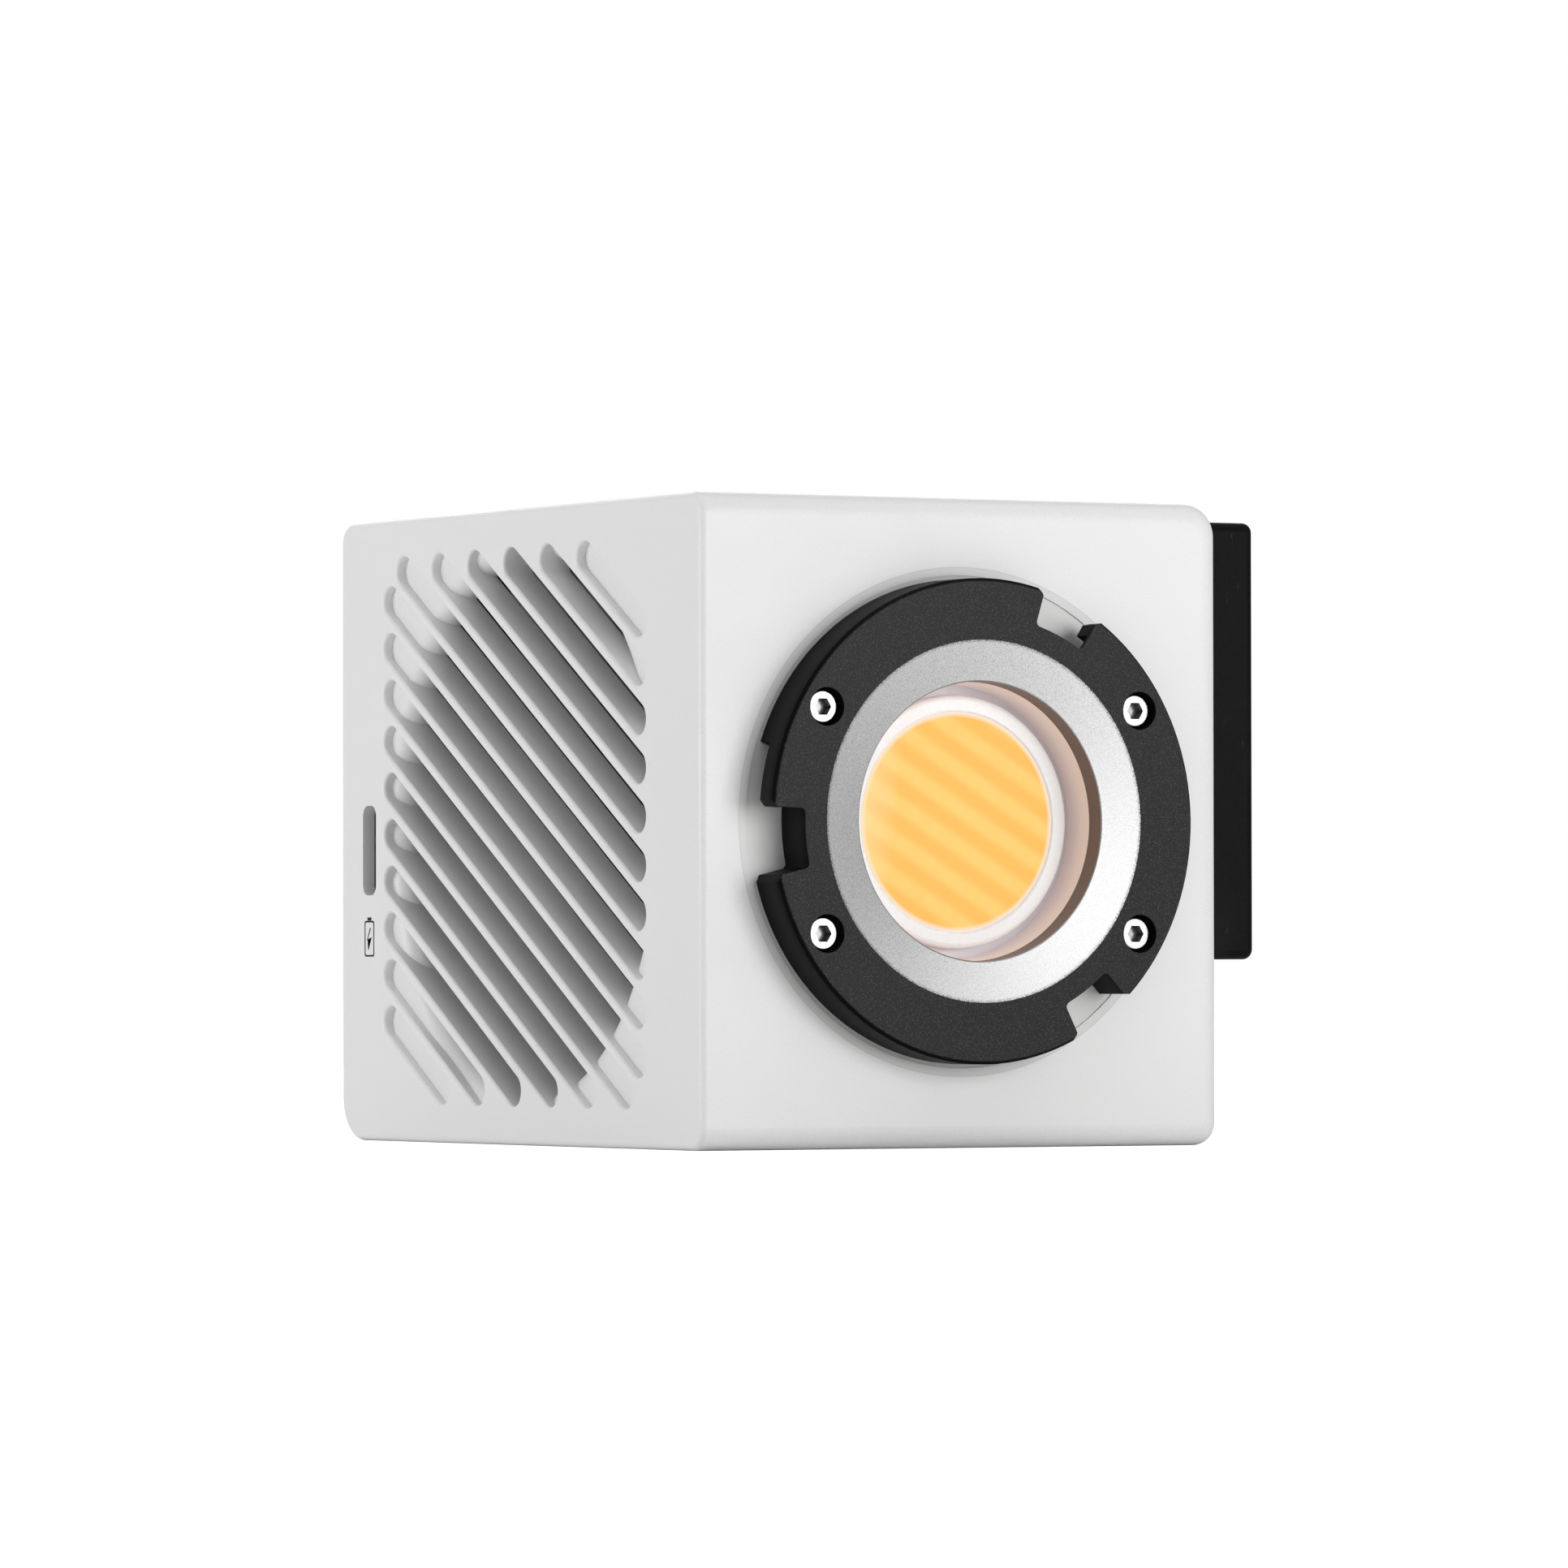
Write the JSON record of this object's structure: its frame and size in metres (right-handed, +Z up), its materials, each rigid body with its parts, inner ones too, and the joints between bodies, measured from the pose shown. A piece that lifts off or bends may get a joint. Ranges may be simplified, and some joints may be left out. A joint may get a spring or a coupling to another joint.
{
  "type": "compact LED spotlight head",
  "caption": "Compact box-shaped LED studio light head with a round bayonet mount, slanted side grille, rear dials and display, and a side dock for power or a bracket.",
  "frame": {"origin": "mouth of the tripod thread in the flat bottom face, below the optical axis", "axes": "+X to the right as seen from the front, +Y from the light aperture to the rear controls, +Z up"},
  "size_m": [0.0931, 0.1254, 0.088],
  "materials": {
    "white_casing": "fine satin texture",
    "black_anodised": "fine bead-blast black coat",
    "blasted_aluminium": "bead blasted",
    "steel_screw": "polished",
    "black_screw": "black oxide",
    "warm_white_plastic": "smooth",
    "white_ceramic": "smooth",
    "white_silicone": "smooth",
    "phosphor": "smooth",
    "grey_pad": "matte",
    "heatsink_aluminium": "extruded",
    "brass_post": "turned",
    "black_plastic": "moulded",
    "copper_winding": "wound wire",
    "magnet_grey": "sintered",
    "green_board": "solder mask",
    "capacitor_sleeve": "sleeved",
    "display_glass": "polished",
    "smoked_window": "satin smoked",
    "port_steel": "stamped",
    "dark_button": "satin",
    "dial_grey": "satin",
    "black_dock": "satin moulded",
    "gold_contact": "gold plated",
    "red_tab": "moulded",
    "lead_insulation": "flexible"
  },
  "bodies": {
    "light_head": {"housing": "white_casing", "rear_cover": "white_casing", "cover_screws": "black_screw", "charge_indicator": "smoked_window", "bayonet_ring": "black_anodised", "ring_screws": "steel_screw", "bezel_ring": "blasted_aluminium", "led_holder": "warm_white_plastic", "cob_board": "white_ceramic", "cob_dam": "white_silicone", "cob_phosphor": "phosphor", "thermal_pad": "grey_pad", "heatsink": "heatsink_aluminium", "heatsink_posts": "brass_post", "fan_frame": "black_plastic", "fan_bearing": "brass_post", "fan_stator": "copper_winding", "fan_screws": "steel_screw", "driver_board": "green_board", "driver_capacitors": "capacitor_sleeve", "driver_inductor": "magnet_grey", "driver_screws": "steel_screw", "control_board": "green_board", "display_module": "black_plastic", "display_window": "display_glass", "usb_c_port": "port_steel", "power_switch": "black_plastic", "brightness_encoder": "port_steel", "colour_encoder": "port_steel", "dock_plate": "black_dock", "dock_screws": "black_screw", "contact_block": "black_plastic", "dock_contacts": "gold_contact", "latch_spring": "steel_screw", "tripod_insert": "brass_post", "led_leads": "lead_insulation", "fan_leads": "lead_insulation", "dock_leads": "lead_insulation", "board_link": "lead_insulation"},
    "fan": {"fan_rotor": "black_plastic", "fan_magnet": "magnet_grey", "fan_shaft": "steel_screw"},
    "power": {"power_button": "dark_button", "power_plunger": "white_silicone"},
    "brightness_push": {"brightness_pusher": "black_plastic"},
    "brightness_knob": {"brightness_dial": "dial_grey", "brightness_shaft": "steel_screw"},
    "colour_push": {"colour_pusher": "black_plastic"},
    "colour_knob": {"colour_dial": "dial_grey", "colour_shaft": "steel_screw"},
    "latch": {"latch_tab": "red_tab"}
  },
  "joints": [
    {"name": "fan_spin", "type": "hinge", "parent": "light_head", "child": "fan", "pos_m": [-0.03, 0.0008, 0.04405], "axis": [1, 0, 0], "continuous": true},
    {"name": "power_press", "type": "slide", "parent": "light_head", "child": "power", "axis": [0, -1, 0], "range_m": [0, 0.0004], "stiffness_N_per_m": 900, "springref_m": -0.001},
    {"name": "brightness_press", "type": "slide", "parent": "light_head", "child": "brightness_push", "axis": [0, -1, 0], "range_m": [0, 0.0005], "stiffness_N_per_m": 1500, "springref_m": -0.001},
    {"name": "brightness_turn", "type": "hinge", "parent": "brightness_push", "child": "brightness_knob", "pos_m": [0.017, 0.05375, 0.036], "axis": [0, 1, 0], "continuous": true},
    {"name": "colour_press", "type": "slide", "parent": "light_head", "child": "colour_push", "axis": [0, -1, 0], "range_m": [0, 0.0005], "stiffness_N_per_m": 1500, "springref_m": -0.001},
    {"name": "colour_turn", "type": "hinge", "parent": "colour_push", "child": "colour_knob", "pos_m": [-0.017, 0.05375, 0.036], "axis": [0, 1, 0], "continuous": true},
    {"name": "latch_press", "type": "slide", "parent": "light_head", "child": "latch", "axis": [-1, 0, 0], "range_m": [0, 0.0024], "stiffness_N_per_m": 600, "springref_m": -0.003, "deforming": ["latch_spring"]}
  ]
}
